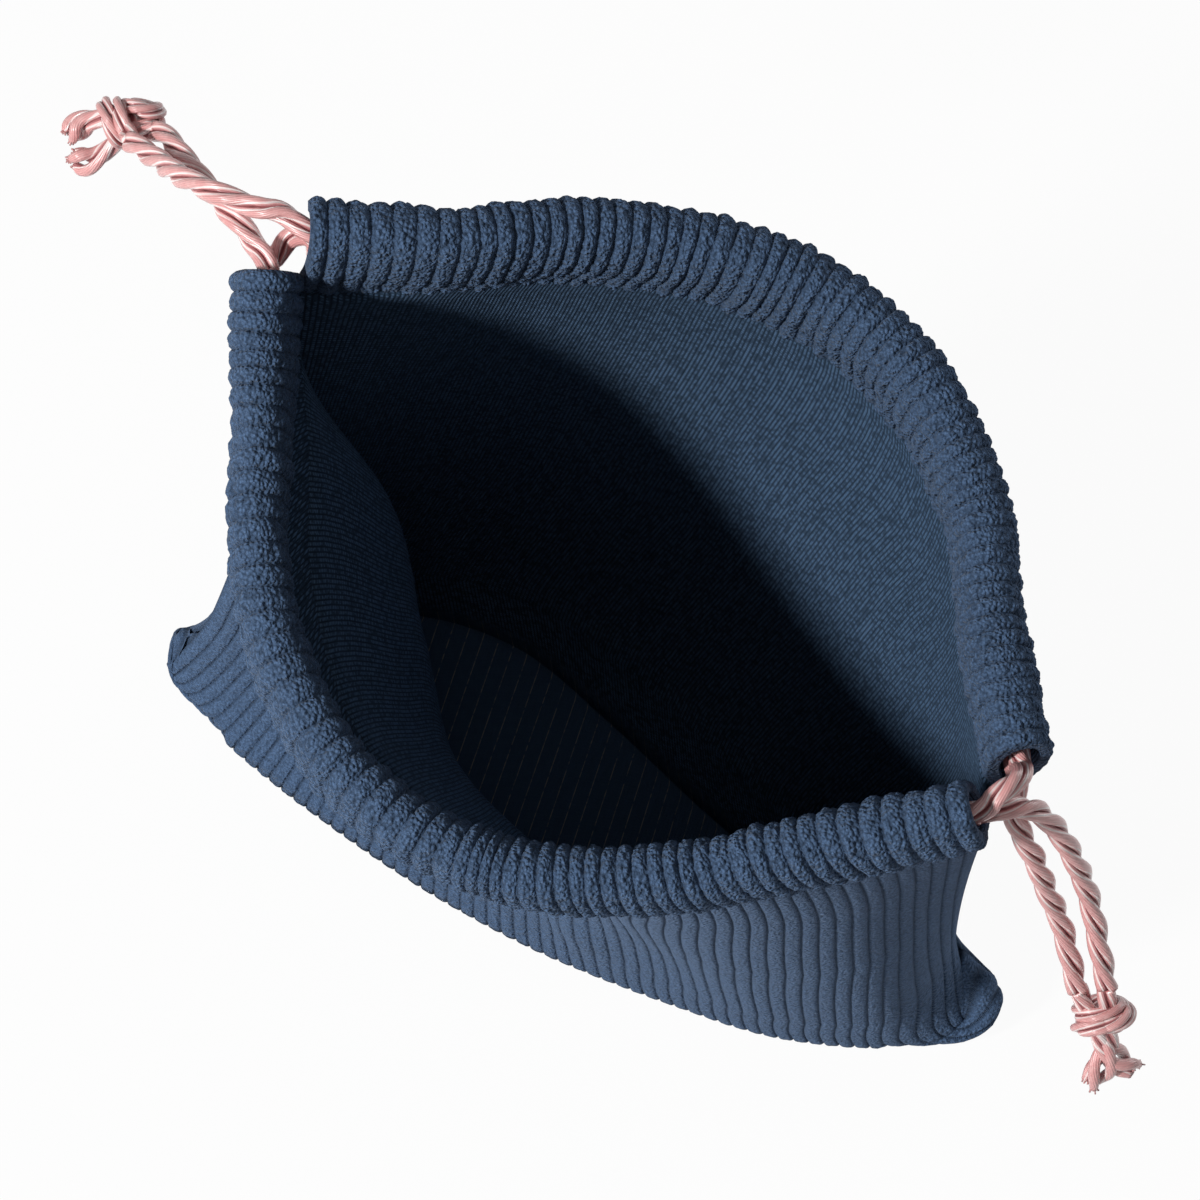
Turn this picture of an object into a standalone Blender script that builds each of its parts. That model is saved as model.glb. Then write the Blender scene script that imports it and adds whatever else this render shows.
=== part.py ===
"""Kinchaku: a drawstring pouch of wide wale corduroy, standing open on its folded base.

One length of cloth makes the front, the base and the back. Its two short edges are turned in and
stitched down as casings, its sides are seamed, and the base is folded in between the front and the
back, so it opens into a boat with a corner at each side. Two cords run through both casings, each
tied in a knot on its own side. Metres, +Z up, the front towards -Y, the origin on the floor between
the base's two side corners.
"""
import math

import bmesh
import bpy
import numpy as np
from mathutils import Vector

# Cloth
PANEL_WIDTH = 0.188        # between the side corners of the base
PANEL_HEIGHT = 0.190       # from the floor to the middle of the casing at its highest end
CLOTH = 0.0018             # corduroy without its ridges
WALE_RISE = 0.0009         # how far a ridge stands up
WALES = 60                 # ridges across a panel
GUSSET_RISE = 0.025        # half of the base's cloth, folded up at each side seam

# Casings
CASING_TALL = 0.018
CASING_THICK = 0.013
HEM_ANGLE = math.radians(35)   # where the stitched hem meets the panel, seen around the casing

# Cords
CORD_DIAMETER = 0.0043
KNOT_DIAMETER = 0.015
TAIL_LENGTH = 0.0075       # past the knot
TAIL_FRAY = 1.15           # how much wider the loose threads at its end are
GAP = 0.0003               # between pieces that touch
UPPER_LANE = -0.0009       # the left cord's depth under the casing's middle
LOWER_LANE = UPPER_LANE + CORD_DIAMETER + 2 * GAP   # the right cord's

# Mesh steps
WALE_STEP = 2              # points for each ridge
GUSSET_ROW = 0.87          # share of the way down at which the folded base meets the side seams
PANEL_ROWS = (0.27, 0.48, 0.69, GUSSET_ROW, 0.94, 1.0)
SEAM_ROWS = 5              # rows of a panel that are sewn to the other panel, hem row included
CASING_STEPS = 7
LINING_STEP = 4            # the smooth inner side has one column for this many outer ones
LINING_ROWS = (0.0, 0.22, 0.45, 0.68, 0.86, 1.0)
BASE_ROWS = (0.25, 0.5, 0.75)
CHANNEL_SIDES = 8
CHANNEL_POINTS = 14        # of a cord's way along one casing
CORD_STEP = 0.0105         # between the points of a cord's tube
FINE_STEPS = 40            # for each span of a cord's way, before it is spaced evenly
KNOT_SEGMENTS = 16
KNOT_RINGS = 10
TAIL_SIDES = 10

# How the cloth stands, in hundredths of the panel's width (x, y) and height (z), left to right
FRONT_RIM = ((-50, 2, 97), (-45, -11, 91.5), (-40, -23, 87.5), (-31, -33.5, 85), (-20, -39, 84.5),
             (-7.5, -40, 86), (5.5, -36, 89), (17, -30, 94), (28.5, -23.5, 100))
FRONT_WAIST = ((-45.5, 2, 46), (-32, 4, 47), (-24.5, -4.5, 45), (-17.5, -14.5, 43), (-6.5, -20, 42),
               (6.5, -23.5, 42), (18, -23, 43), (28, -18.5, 45), (36, -9, 48))
FRONT_FOOT = ((-50, -1, 0), (-38, -6, 0), (-25, -10, 0), (-12, -13, 0), (1, -14.5, 0),
              (14.5, -14.5, 0), (27.5, -13.5, 0), (40, -9.5, 0), (47.5, -4.5, 0))
BACK_RIM = ((-45.5, 5, 100.5), (-35.5, 9.5, 100.5), (-24.5, 16, 99.5), (-12, 20, 99), (0.5, 20, 98.5),
            (11, 15, 98.5), (19.5, 6, 98), (25, -6, 98), (31, -16.5, 98))
BACK_WAIST = ((-45.5, 2, 46), (-36, 12, 48.5), (-24.5, 18, 48.5), (-13, 20.5, 48.5), (0.5, 19, 48.5),
              (12.5, 13.5, 48.5), (23, 6.5, 48.5), (31, -1, 48.5), (36, -9, 48))
BACK_FOOT = ((-50.5, 2.5, 0), (-40, 10, 0), (-27, 16.5, 0), (-14, 17.5, 0), (-1, 13, 0),
             (12, 7.5, 0), (24, 3.5, 0), (37, 1.5, 0), (49, 1, 0))
SEAM_TOP_LEFT = (-48, 3.5, 91.5)
SEAM_TOP_RIGHT = (31, -19.5, 92)
GUSSET_LEFT = (-46.5, 0.5)
GUSSET_RIGHT = (41, -1)
GUSSET_REACH = 0.16        # share of the width over which the folded base comes down to the floor
SEAM_REACH = 0.15          # share of the width over which a side seam pulls at the cloth
SEAM_PROBE = 0.06          # share of the width at which the cloth shows which way is inside
SLOPE_STEP = 0.01          # share of a panel over which its slopes are taken
LINING_LIFT = 1.2          # the base's inner side stands this much higher at its ends than the outer

# Free strands, in metres from the middle of the two casing ends on their side
LEFT_KNOT = (-0.0400, 0.0266, -0.0286)
LEFT_STRAND_FRONT = ((-0.0094, 0.0015, -0.0021), (-0.0126, 0.0034, -0.0016),
                     (-0.0158, 0.0057, -0.0030), (-0.0202, 0.0105, -0.0077),
                     (-0.0265, 0.0173, -0.0144), (-0.0311, 0.0224, -0.0196))
LEFT_STRAND_BACK = ((-0.0047, 0.0046, 0.0054), (-0.0086, 0.0041, 0.0050),
                    (-0.0127, 0.0047, 0.0034), (-0.0184, 0.0054, 0.0016),
                    (-0.0254, 0.0094, -0.0054), (-0.0310, 0.0155, -0.0151))
LEFT_BRIDGE = ((-0.0045, 0.0015, -0.0060), (-0.0030, 0.0050, -0.0035), (0.0005, 0.0050, -0.0010))
RIGHT_KNOT = (0.0380, -0.0098, -0.0580)
LEFT_TAILS = ((-0.0087, -0.0047, -0.0110), (-0.0098, 0.0030, -0.0090))
RIGHT_TAILS = ((0.0040, -0.0060, -0.0120), (0.0100, -0.0020, -0.0110))
RIGHT_STRAND_FRONT = ((0.0022, -0.0036, 0.0002), (0.0070, -0.0005, -0.0025),
                      (0.0128, 0.0012, -0.0100), (0.0193, 0.0011, -0.0200),
                      (0.0257, 0.0003, -0.0320))
RIGHT_STRAND_BACK = ((0.0045, -0.0000, -0.0065), (0.0075, -0.0015, -0.0110),
                     (0.0125, -0.0020, -0.0190), (0.0178, -0.0026, -0.0290),
                     (0.0235, -0.0035, -0.0390))
RIGHT_BRIDGE = ((-0.0003, -0.0042, 0.0050), (0.0015, -0.0008, 0.0055), (0.0026, 0.0026, 0.0030))

COLUMNS = WALES * WALE_STEP
UNIT = np.array([PANEL_WIDTH / 100, PANEL_WIDTH / 100, PANEL_HEIGHT / 100])
CORD_RADIUS = CORD_DIAMETER / 2
KNOT_RADIUS = KNOT_DIAMETER / 2


def unit(vectors):
    """Vectors made one long."""
    return vectors / np.linalg.norm(vectors, axis=-1, keepdims=True)


def smooth_curve(points, shares):
    """Points at the given shares of a smooth curve through the given points."""
    points = np.asarray(points, float)
    first = 2 * points[0] - points[1]
    last = 2 * points[-1] - points[-2]
    ends = np.vstack([first, points, last])
    place = np.clip(shares, 0, 1) * (len(points) - 1)
    span = np.minimum(place.astype(int), len(points) - 2)
    t = (place - span)[:, None]
    a, b, c, d = ends[span], ends[span + 1], ends[span + 2], ends[span + 3]
    return 0.5 * (2 * b + (c - a) * t + (2 * a - 5 * b + 4 * c - d) * t ** 2
                  + (3 * b - a - 3 * c + d) * t ** 3)


class Panel:
    """The front or the back of the pouch: a sheet from its casing down to the base's edge."""

    def __init__(self, rim, waist, foot, side):
        self.rim, self.waist, self.foot = (np.array(ring) * UNIT for ring in (rim, waist, foot))
        self.side = side       # -1 for the front, 1 for the back
        middle = len(rim) // 2
        fall = np.linalg.norm(self.rim - self.waist, axis=1) + np.linalg.norm(self.waist - self.foot, axis=1)
        self.hem_row = (CASING_TALL / 2 + 2 * CLOTH) / fall[middle]

    def free_sheet(self, across, down):
        """The middle of the cloth before the seams pull at it."""
        rim, waist, foot = (smooth_curve(ring, across) for ring in (self.rim, self.waist, self.foot))
        v = np.broadcast_to(np.asarray(down, float), across.shape)[:, None]
        return rim * (1 - v) * (1 - 2 * v) + waist * 4 * v * (1 - v) + foot * v * (2 * v - 1)

    def edge(self, left, down):
        """A side edge of the panel: its seam, and under the gusset the side of the base's corner."""
        foot = self.foot[0 if left else -1]
        under = np.clip((down - GUSSET_ROW) / (1 - GUSSET_ROW), 0, 1)
        above = np.clip((down - self.hem_row) / (GUSSET_ROW - self.hem_row), 0, 1)
        return seam_point(left, above) * (1 - under) + foot * under

    def sheet(self, across, down):
        """The middle of the cloth at shares of the width and of the way down."""
        down = np.broadcast_to(np.asarray(down, float), across.shape)
        level = self.free_sheet(across, down)
        for left, end, away in ((True, 0.0, across), (False, 1.0, 1 - across)):
            pull = np.clip(1 - away / SEAM_REACH, 0, 1) ** 2 * np.clip(down / self.hem_row, 0, 1)
            for j in np.nonzero(pull)[0]:
                own = self.free_sheet(np.array([end]), down[j])[0]
                level[j] += (self.edge(left, down[j]) - own) * pull[j]
        return level

    def outward(self, across, down):
        """The direction out of the pouch at the same places."""
        inside = np.clip(across, SLOPE_STEP, 1 - SLOPE_STEP)
        ahead, behind = np.minimum(down + SLOPE_STEP, 1.0), np.asarray(down) - SLOPE_STEP
        along = self.sheet(inside + SLOPE_STEP, down) - self.sheet(inside - SLOPE_STEP, down)
        fall = self.sheet(across, ahead) - self.sheet(across, behind)
        return unit(np.cross(along, fall)) * self.side

    def casing_frame(self, across):
        """Centre, downward and outward directions of the casing's tube."""
        inside = np.clip(across, SLOPE_STEP, 1 - SLOPE_STEP)
        centre = smooth_curve(self.rim, across)
        along = unit(smooth_curve(self.rim, inside + SLOPE_STEP)
                     - smooth_curve(self.rim, inside - SLOPE_STEP))
        down = self.free_sheet(across, 2 * self.hem_row) - centre
        down = unit(down - along * np.sum(along * down, axis=1, keepdims=True))
        return centre, down, np.cross(along, down) * self.side

    def casing(self, across, angle, tall, thick, rise):
        """Points around the casing; angle 0 is at its bottom and turns to its inner side first."""
        centre, down, out = self.casing_frame(across)
        ellipse = down * math.cos(angle) * tall - out * math.sin(angle) * thick
        normal = unit(down * math.cos(angle) / tall - out * math.sin(angle) / thick)
        return centre + ellipse + normal * np.reshape(rise, (-1, 1))


FRONT = Panel(FRONT_RIM, FRONT_WAIST, FRONT_FOOT, -1)
BACK = Panel(BACK_RIM, BACK_WAIST, BACK_FOOT, 1)


def seam_point(left, share):
    """A point of a side seam, from its top at share 0 to the folded base at share 1."""
    top = np.array(SEAM_TOP_LEFT if left else SEAM_TOP_RIGHT) * UNIT
    waist = FRONT.waist[0 if left else -1]
    gusset = GUSSET_LEFT if left else GUSSET_RIGHT
    low = np.array([gusset[0] * UNIT[0], gusset[1] * UNIT[1], GUSSET_RISE])
    middle = (top[2] - waist[2]) / (top[2] - low[2])
    sag = waist - (top + (low - top) * middle)
    return top + (low - top) * share + sag * share * (1 - share) / (middle * (1 - middle))


def seam_inward(left, share):
    """The level direction from a side seam into the pouch."""
    probe = np.array([SEAM_PROBE if left else 1 - SEAM_PROBE])
    down = FRONT.hem_row + (GUSSET_ROW - FRONT.hem_row) * share
    inner = (FRONT.sheet(probe, down) + BACK.sheet(probe, down))[0] / 2
    way = inner - seam_point(left, share)
    way[2] = 0
    return way / np.linalg.norm(way)


def base_lift(across):
    """How high the base's middle fold stands over the floor, near its two ends."""
    end = np.minimum(across, 1 - across) / GUSSET_REACH
    return GUSSET_RISE * np.clip(1 - end, 0, 1) ** 2


class Skin:
    """Collects the points and faces of one closed body."""

    def __init__(self):
        self.points = []
        self.faces = []

    def add_row(self, row):
        """Adds a row of points and gives their numbers."""
        start = len(self.points)
        self.points.extend(np.asarray(row))
        return list(range(start, start + len(row)))

    def add_sheet(self, rows, turned=False):
        """Faces between rows of equally many points, split along one diagonal or the other."""
        for upper, lower in zip(rows, rows[1:]):
            for j in range(len(upper) - 1):
                a, b, c, d = upper[j], upper[j + 1], lower[j + 1], lower[j]
                halves = ((b, c, d), (b, d, a)) if turned else ((a, b, c), (a, c, d))
                self.faces.extend(half for half in halves if len(set(half)) == 3)

    def add_fan(self, fine, coarse, step):
        """Faces between a fine row and a coarse one with one point for each step of it."""
        for j in range(len(coarse) - 1):
            part = fine[j * step:(j + 1) * step + 1]
            half = step // 2
            for k in range(step):
                corner = coarse[j] if k < half else coarse[j + 1]
                self.faces.append([corner, part[k], part[k + 1]])
            self.faces.append([coarse[j], part[half], coarse[j + 1]])

    def build(self, name, weld):
        """A mesh object with its faces pointing out."""
        mesh = bpy.data.meshes.new(name)
        mesh.from_pydata([tuple(p) for p in self.points], [], self.faces)
        shape = bmesh.new()
        shape.from_mesh(mesh)
        loose = [vertex for vertex in shape.verts if not vertex.link_faces]
        bmesh.ops.delete(shape, geom=loose, context="VERTS")
        bmesh.ops.remove_doubles(shape, verts=shape.verts, dist=weld)
        bmesh.ops.triangulate(shape, faces=shape.faces)
        bmesh.ops.recalc_face_normals(shape, faces=shape.faces)
        shape.to_mesh(mesh)
        shape.free()
        return bpy.data.objects.new(name, mesh)


def outer_rows(skin, panel, seams):
    """The pile side of a panel, from its hem inside, over the casing and down to the base's edge."""
    across = np.linspace(0, 1, COLUMNS + 1)
    rise = np.where(np.arange(COLUMNS + 1) % WALE_STEP == WALE_STEP // 2, WALE_RISE, 0.0)
    rows = []
    for angle in np.linspace(HEM_ANGLE, 2 * math.pi - HEM_ANGLE, CASING_STEPS):
        rows.append(skin.add_row(panel.casing(across, angle, CASING_TALL / 2, CASING_THICK / 2, rise)))
    for number, down in enumerate((panel.hem_row,) + PANEL_ROWS):
        level = panel.sheet(across, down) + panel.outward(across, down) * (CLOTH / 2 + rise)[:, None]
        if down == PANEL_ROWS[-1]:
            level[:, 2] = 0
        row = skin.add_row(level)
        if number < SEAM_ROWS:
            row[0], row[-1] = seams[0][number], seams[1][number]
        rows.append(row)
    return rows


def base_sheet(skin, front_rows, back_rows):
    """The base's pile side, its ends sewn to the lower sides of the front and the back."""
    across = np.linspace(0, 1, COLUMNS + 1)
    front = np.array([skin.points[p] for p in front_rows[-1]])
    back = np.array([skin.points[p] for p in back_rows[-1]])
    sewn = (front_rows[-2], front_rows[-3], back_rows[-2])
    rows = [front_rows[-1]]
    for share, side in zip(BASE_ROWS, sewn):
        level = front + (back - front) * share
        for end, away in ((0, across), (-1, 1 - across)):
            pull = np.clip(1 - away / GUSSET_REACH, 0, 1) ** 2
            level = level + (skin.points[side[end]] - level[end]) * pull[:, None]
        row = skin.add_row(level)
        row[0], row[-1] = side[0], side[-1]
        rows.append(row)
    rows.append(back_rows[-1])
    middle = len(rows) // 2
    skin.add_sheet(rows[:middle + 1])
    skin.add_sheet(rows[middle:], turned=True)


def lining_rows(skin, panel, seams):
    """The plain wrong side of a panel, from under the hem down to the inside of the base."""
    across = np.linspace(0, 1, COLUMNS // LINING_STEP + 1)
    floor = base_lift(across) * LINING_LIFT + CLOTH
    falls = np.linspace(0, 1, 101)
    heights = np.array([panel.sheet(across, fall)[:, 2] for fall in falls])
    lowest = np.array([np.interp(-z, -heights[:, j], falls) for j, z in enumerate(floor)])
    rows = []
    for number, share in enumerate(LINING_ROWS):
        down = panel.hem_row + (lowest - panel.hem_row) * share
        level = np.vstack([panel.sheet(across[j:j + 1], down[j])
                           - panel.outward(across[j:j + 1], down[j]) * CLOTH / 2
                           for j in range(len(across))])
        if share == LINING_ROWS[-1]:
            level[:, 2] = floor
        row = skin.add_row(level)
        row[0], row[-1] = seams[0][number], seams[1][number]
        rows.append(row)
    return rows


def lining_base(skin, front_edge, back_edge):
    """The inside of the base, which narrows to a point at each side seam."""
    rows = [front_edge]
    for share in BASE_ROWS:
        level = np.array([(1 - share) * skin.points[f] + share * skin.points[b]
                          for f, b in zip(front_edge, back_edge)])
        row = skin.add_row(level)
        row[0], row[-1] = front_edge[0], front_edge[-1]
        rows.append(row)
    rows.append(back_edge)
    skin.add_sheet(rows)


def channel(skin, panel, casing_rows, seam_tops, lining_tops):
    """The cord's way through a casing, open at both ends, with the cut ends of the cloth."""
    across = np.linspace(0, 1, COLUMNS // LINING_STEP + 1)
    flat = np.zeros(len(across))
    rings = []
    for turn in range(CHANNEL_SIDES):
        angle = 2 * math.pi * turn / CHANNEL_SIDES
        rings.append(skin.add_row(panel.casing(across, angle, CASING_TALL / 2 - CLOTH,
                                               CASING_THICK / 2 - CLOTH, flat)))
    skin.add_sheet(rings + rings[:1])
    for end in (0, -1):
        hole = [ring[end] for ring in rings]
        edge = [row[end] for row in casing_rows]
        first, last = hole[0], hole[1]
        skin.faces.append([lining_tops[end], edge[0], first])
        for number in range(1, CASING_STEPS):
            ahead = hole[(number + 1) % CHANNEL_SIDES]
            skin.faces.append([edge[number - 1], edge[number], last])
            skin.faces.append([last, edge[number], ahead])
            last = ahead
        skin.faces.append([edge[0], hole[1], first])
        skin.faces.append([last, edge[-1], first])
        skin.faces.append([edge[-1], seam_tops[end], first])
        skin.faces.append([seam_tops[end], lining_tops[end], first])


def make_pouch():
    """The whole cloth as one closed body."""
    skin = Skin()
    outer_seams, lining_seams = [], []
    seam_rows = np.array((FRONT.hem_row,) + PANEL_ROWS[:SEAM_ROWS - 1])
    seam_shares = (seam_rows - seam_rows[0]) / (seam_rows[-1] - seam_rows[0])
    lining_reach = 1 - CLOTH / PANEL_HEIGHT
    for left in (True, False):
        outer = [seam_point(left, share) - seam_inward(left, share) * CLOTH / 2 for share in seam_shares]
        inner = [seam_point(left, share * lining_reach) + seam_inward(left, share) * CLOTH
                 for share in LINING_ROWS]
        outer_seams.append(skin.add_row(outer))
        lining_seams.append(skin.add_row(inner))
    front, back = (outer_rows(skin, panel, outer_seams) for panel in (FRONT, BACK))
    front_lining, back_lining = (lining_rows(skin, panel, lining_seams) for panel in (FRONT, BACK))
    for panel, rows, lining in ((FRONT, front, front_lining), (BACK, back, back_lining)):
        skin.add_sheet(rows)
        skin.add_sheet(lining)
        skin.add_fan(rows[0], lining[0], LINING_STEP)
        channel(skin, panel, rows[:CASING_STEPS], [seam[0] for seam in outer_seams],
                [seam[0] for seam in lining_seams])
    base_sheet(skin, front, back)
    lining_base(skin, front_lining[-1], back_lining[-1])
    return skin.build("pouch", 0.00001)


def channel_route(panel, depth):
    """The way of a cord along a casing, at a depth under the casing's middle."""
    centre, down, _ = panel.casing_frame(np.linspace(0.0, 1.0, CHANNEL_POINTS))
    return centre + down * depth


def side_anchor(end):
    """The middle of the two casing ends on one side."""
    share = np.array([float(end)])
    return (FRONT.casing_frame(share)[0][0] + BACK.casing_frame(share)[0][0]) / 2


def cord_route(anchor, knot, strands, bridge_anchor, bridge, depth, from_left):
    """A cord from its knot through one casing, across the far side, back and to its knot again."""
    ways = [channel_route(panel, depth) for panel in (FRONT, BACK)]
    if not from_left:
        ways = [way[::-1] for way in ways]
    centre = anchor + np.array(knot)
    last = [anchor + np.array(strand[-1]) for strand in strands]
    towards = unit((last[0] + last[1]) / 2 - centre)
    apart = last[0] - last[1]
    apart = unit(apart - towards * np.dot(apart, towards))
    spread = math.asin((CORD_RADIUS + GAP) / (KNOT_RADIUS + GAP))
    reach = KNOT_RADIUS + GAP + CORD_RADIUS * math.sin(spread)
    free = []
    for strand, side in zip(strands, (1, -1)):
        seat = towards * math.cos(spread) + apart * side * math.sin(spread)
        free.append(np.vstack([anchor + np.array(strand), centre + unit(seat) * reach]))
    link = bridge_anchor + np.array(bridge)
    route = np.vstack([free[0][::-1], ways[0], link, ways[1][::-1], free[1]])
    return even_points(route)


def even_points(route):
    """The smooth curve through a route, as points at even steps."""
    fine = smooth_curve(route, np.linspace(0, 1, FINE_STEPS * len(route)))
    length = np.concatenate([[0], np.cumsum(np.linalg.norm(np.diff(fine, axis=0), axis=1))])
    count = math.ceil(length[-1] / CORD_STEP)
    places = np.linspace(0, length[-1], count + 1)
    return np.stack([np.interp(places, length, fine[:, axis]) for axis in range(3)], axis=1)


def make_tube(name, points):
    """A round cord along the given points."""
    data = bpy.data.curves.new(name, "CURVE")
    data.dimensions = "3D"
    data.bevel_depth = CORD_RADIUS
    data.bevel_resolution = 2
    data.use_fill_caps = True
    spline = data.splines.new("POLY")
    spline.points.add(len(points) - 1)
    for place, point in zip(spline.points, points):
        place.co = (*point, 1)
    return bpy.data.objects.new(name, data)


def make_knot(name, centre, tails, cutters):
    """A tied knot as a round lump, with the two cord ends standing out of it."""
    mesh = bpy.data.meshes.new(name)
    shape = bmesh.new()
    bmesh.ops.create_uvsphere(shape, u_segments=KNOT_SEGMENTS, v_segments=KNOT_RINGS,
                              radius=KNOT_RADIUS)
    shape.to_mesh(mesh)
    shape.free()
    lump = bpy.data.objects.new(name, mesh)
    lump.location = centre
    for number, tail in enumerate(tails):
        away = Vector(tail).normalized()
        length = KNOT_RADIUS + TAIL_LENGTH
        shape = bmesh.new()
        bmesh.ops.create_cone(shape, cap_ends=True, segments=TAIL_SIDES, radius1=CORD_RADIUS,
                              radius2=CORD_RADIUS * TAIL_FRAY, depth=length)
        bmesh.ops.translate(shape, verts=shape.verts, vec=(0, 0, length / 2))
        mesh = bpy.data.meshes.new(f"{name}_tail_{number}")
        shape.to_mesh(mesh)
        shape.free()
        piece = bpy.data.objects.new(mesh.name, mesh)
        piece.location = centre
        piece.rotation_mode = "QUATERNION"
        piece.rotation_quaternion = away.to_track_quat("Z", "Y")
        piece.hide_render = True
        piece.display_type = "WIRE"
        cutters.objects.link(piece)
        join = lump.modifiers.new(mesh.name, "BOOLEAN")
        join.operation = "UNION"
        join.object = piece
    return lump


def material(name, colour, roughness):
    """A plain surface."""
    finish = bpy.data.materials.new(name)
    finish.use_nodes = True
    shader = finish.node_tree.nodes["Principled BSDF"]
    shader.inputs["Base Color"].default_value = (*colour, 1)
    shader.inputs["Roughness"].default_value = roughness
    shader.inputs["Metallic"].default_value = 0.0
    return finish


def main():
    """Clears the scene and models the pouch."""
    for item in list(bpy.data.objects):
        bpy.data.objects.remove(item, do_unlink=True)
    group = bpy.data.collections.new("kinchaku_drawstring_pouch")
    cutters = bpy.data.collections.new("cutters")
    for collection in (group, cutters):
        bpy.context.scene.collection.children.link(collection)
    left, right = side_anchor(0), side_anchor(1)
    cords = {
        "drawcord_left": cord_route(left, LEFT_KNOT, (LEFT_STRAND_FRONT, LEFT_STRAND_BACK),
                                    right, RIGHT_BRIDGE, UPPER_LANE, True),
        "drawcord_right": cord_route(right, RIGHT_KNOT, (RIGHT_STRAND_FRONT, RIGHT_STRAND_BACK),
                                     left, LEFT_BRIDGE, LOWER_LANE, False),
    }
    corduroy = material("navy corduroy", (0.031, 0.075, 0.165), 0.95)
    silk = material("pink cord", (0.72, 0.36, 0.36), 0.45)
    pieces = [(make_pouch(), corduroy)]
    for name, points in cords.items():
        pieces.append((make_tube(name, points), silk))
    pieces.append((make_knot("knot_left", left + np.array(LEFT_KNOT), LEFT_TAILS, cutters), silk))
    pieces.append((make_knot("knot_right", right + np.array(RIGHT_KNOT), RIGHT_TAILS, cutters), silk))
    for piece, finish in pieces:
        piece.data.materials.append(finish)
        group.objects.link(piece)


main()
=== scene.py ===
"""A kinchaku, a drawstring pouch of wide wale corduroy, standing open on its folded base.

The cloth is one strip: it is turned in as a casing at the front of the mouth, runs down the front,
under the base and up the back, and is turned in again. Its sides are seamed. Two twisted cords run
through both casings and are knotted at the two sides. Metres, +Z up, the front towards -Y.
"""

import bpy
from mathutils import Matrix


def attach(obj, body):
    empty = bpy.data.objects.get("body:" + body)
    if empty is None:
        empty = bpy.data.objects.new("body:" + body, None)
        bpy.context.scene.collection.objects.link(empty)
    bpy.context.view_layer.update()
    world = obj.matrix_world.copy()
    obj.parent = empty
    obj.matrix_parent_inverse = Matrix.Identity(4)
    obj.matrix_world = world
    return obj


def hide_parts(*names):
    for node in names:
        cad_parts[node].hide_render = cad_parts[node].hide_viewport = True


bl_info = {
    "name": "Corduroy drawstring pouch",
    "version": (1, 0, 0),
    "blender": (4, 5, 0),
    "location": "View3D > Sidebar > Pouch",
    "description": "Makes the cloth, cords and knots of a corduroy drawstring pouch",
    "category": "Object",
}

import math

import bmesh
import bpy
import numpy as np
from bpy.props import FloatProperty, FloatVectorProperty, IntProperty, PointerProperty
from mathutils import Matrix, Vector

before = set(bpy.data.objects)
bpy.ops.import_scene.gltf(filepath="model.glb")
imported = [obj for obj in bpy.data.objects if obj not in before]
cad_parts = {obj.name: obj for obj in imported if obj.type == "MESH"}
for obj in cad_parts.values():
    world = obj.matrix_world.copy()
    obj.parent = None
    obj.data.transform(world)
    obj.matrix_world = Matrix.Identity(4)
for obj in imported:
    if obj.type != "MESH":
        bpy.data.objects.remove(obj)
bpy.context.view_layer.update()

# The photograph's view
VIEW_AZIMUTH = -3.517
VIEW_ELEVATION = 66.022
VIEW_ROLL = 24.9
VIEW_DISTANCE = 1.0815
VIEW_ASIDE = (0.003457, 0.048596)   # of the camera from the origin, along the picture
VIEW_LENS = 156.6

# Lamps: name, azimuth and elevation in degrees, distance, size, share of the key's power, colour
LAMPS = (("key light", (-43, 34), 1.5, 0.22, 1.0, (1.0, 0.99, 0.97)),
         ("upper light", (-4, 72), 1.7, 0.6, 0.05, (1.0, 1.0, 1.0)),
         ("rear light", (148, 9), 1.6, 0.7, 0.26, (0.98, 0.99, 1.0)))
LAMP_AIM = (-0.01, -0.01, 0.1)
FLOOR_WHITE = 0.95         # how far the floor is plain white, where it is seen

# How the cloth stands, in hundredths of the panel's width (x, y) and height (z), left to right
PANEL_WIDTH = 0.188
PANEL_HEIGHT = 0.190
FRONT_RIM = ((-50, 2, 97), (-45, -11, 91.5), (-40, -23, 87.5), (-31, -33.5, 85), (-20, -39, 84.5),
             (-7.5, -40, 86), (5.5, -36, 89), (17, -30, 94), (28.5, -23.5, 100))
FRONT_WAIST = ((-45.5, 2, 46), (-32, 4, 47), (-24.5, -4.5, 45), (-17.5, -14.5, 43), (-6.5, -20, 42),
               (6.5, -23.5, 42), (18, -23, 43), (28, -18.5, 45), (36, -9, 48))
FRONT_FOOT = ((-50, -1, 0), (-38, -6, 0), (-25, -10, 0), (-12, -13, 0), (1, -14.5, 0),
              (14.5, -14.5, 0), (27.5, -13.5, 0), (40, -9.5, 0), (47.5, -4.5, 0))
BACK_RIM = ((-45.5, 5, 100.5), (-35.5, 9.5, 100.5), (-24.5, 16, 99.5), (-12, 20, 99),
            (0.5, 20, 98.5), (11, 15, 98.5), (19.5, 6, 98), (25, -6, 98), (31, -16.5, 98))
BACK_WAIST = ((-45.5, 2, 46), (-36, 12, 48.5), (-24.5, 18, 48.5), (-13, 20.5, 48.5),
              (0.5, 19, 48.5), (12.5, 13.5, 48.5), (23, 6.5, 48.5), (31, -1, 48.5), (36, -9, 48))
BACK_FOOT = ((-50.5, 2.5, 0), (-40, 10, 0), (-27, 16.5, 0), (-14, 17.5, 0), (-1, 13, 0),
             (12, 7.5, 0), (24, 3.5, 0), (37, 1.5, 0), (49, 1, 0))
SEAM_TOP_LEFT = (-48, 3.5, 91.5)
SEAM_TOP_RIGHT = (31, -19.5, 92)
GUSSET_LEFT = (-46.5, 0.5)
GUSSET_RIGHT = (41, -1)
GUSSET_RISE = 0.025
GUSSET_ROW = 0.87          # share of the way down at which the folded base meets the side seams
GUSSET_REACH = 0.16
SEAM_REACH = 0.15
CLOTH_THICK = 0.0018       # without its ridges
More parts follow.
